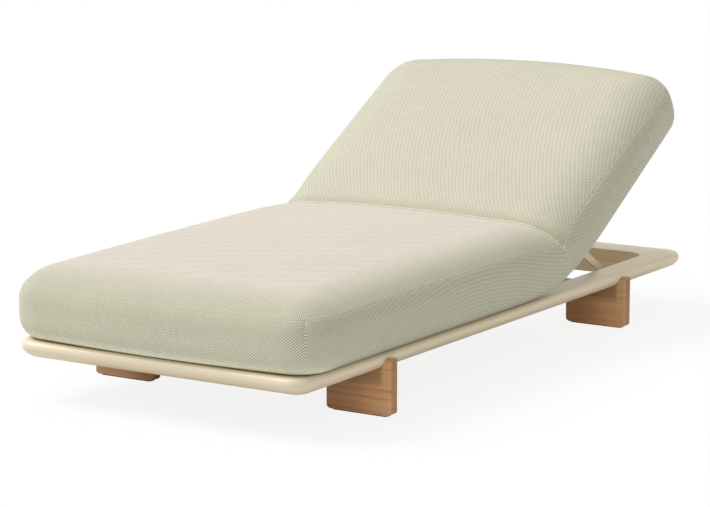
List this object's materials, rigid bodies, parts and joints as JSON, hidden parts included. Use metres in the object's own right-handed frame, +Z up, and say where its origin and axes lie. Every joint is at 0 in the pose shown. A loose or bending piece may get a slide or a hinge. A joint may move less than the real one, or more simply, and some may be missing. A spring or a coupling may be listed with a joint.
{
  "type": "spa relaxation lounger",
  "caption": "Low spa relaxation lounger with a flat rounded frame on plate feet, a thick folding mattress and a hinged back held up by a stay.",
  "frame": {"origin": "on the floor under the plan centre of the frame", "axes": "+X across the lounger to the right of someone facing the head end, +Y towards the head end, +Z up"},
  "size_m": [0.9818, 2.118, 0.733],
  "materials": {
    "frame": "satin",
    "deck": "matte",
    "subframe": "satin",
    "walnut": "satin",
    "cord_weave": "matte",
    "rubber": "matte",
    "fixings": "satin",
    "bush": "matte"
  },
  "bodies": {
    "base": {"frame_ring": "frame", "seat_deck": "deck", "deck_screws": "fixings", "deck_beam_front": "subframe", "deck_beam_mid": "subframe", "hinge_beam": "subframe", "beam_screws": "fixings", "deck_pads": "rubber", "head_beam": "frame", "head_beam_screws": "fixings", "rest_buffers": "rubber", "foot_front_right": "walnut", "foot_front_left": "walnut", "foot_rear_right": "walnut", "foot_rear_left": "walnut", "foot_pads": "rubber", "foot_bolts": "fixings", "foot_nut_plates": "fixings", "hinge_bracket_right": "frame", "hinge_bracket_left": "frame", "hinge_bolts": "fixings", "hinge_pins": "fixings", "rack_right": "frame", "rack_left": "frame", "rack_screws": "fixings", "seat_cushion": "cord_weave", "seat_grips": "rubber"},
    "back": {"back_frame": "subframe", "back_panel": "deck", "panel_screws": "fixings", "back_cushion": "cord_weave", "back_grips": "rubber", "shaft_bushes": "bush"},
    "stay": {"stay_shaft": "fixings", "stay_arm_right": "frame", "stay_arm_left": "frame", "stay_screws": "fixings", "stay_foot_pins": "fixings"}
  },
  "joints": [
    {"name": "back_hinge", "type": "hinge", "parent": "base", "child": "back", "pos_m": [0, 0.236, 0.15], "axis": [1, 0, 0], "range_deg": [-30, 0]},
    {"name": "stay_pivot", "type": "hinge", "parent": "back", "child": "stay", "pos_m": [0, 0.46376, 0.2815], "axis": [1, 0, 0], "range_deg": [0, 60]}
  ],
  "couplings": [
    {"joint": "stay_pivot", "follows": "back_hinge", "ratio": -2}
  ]
}
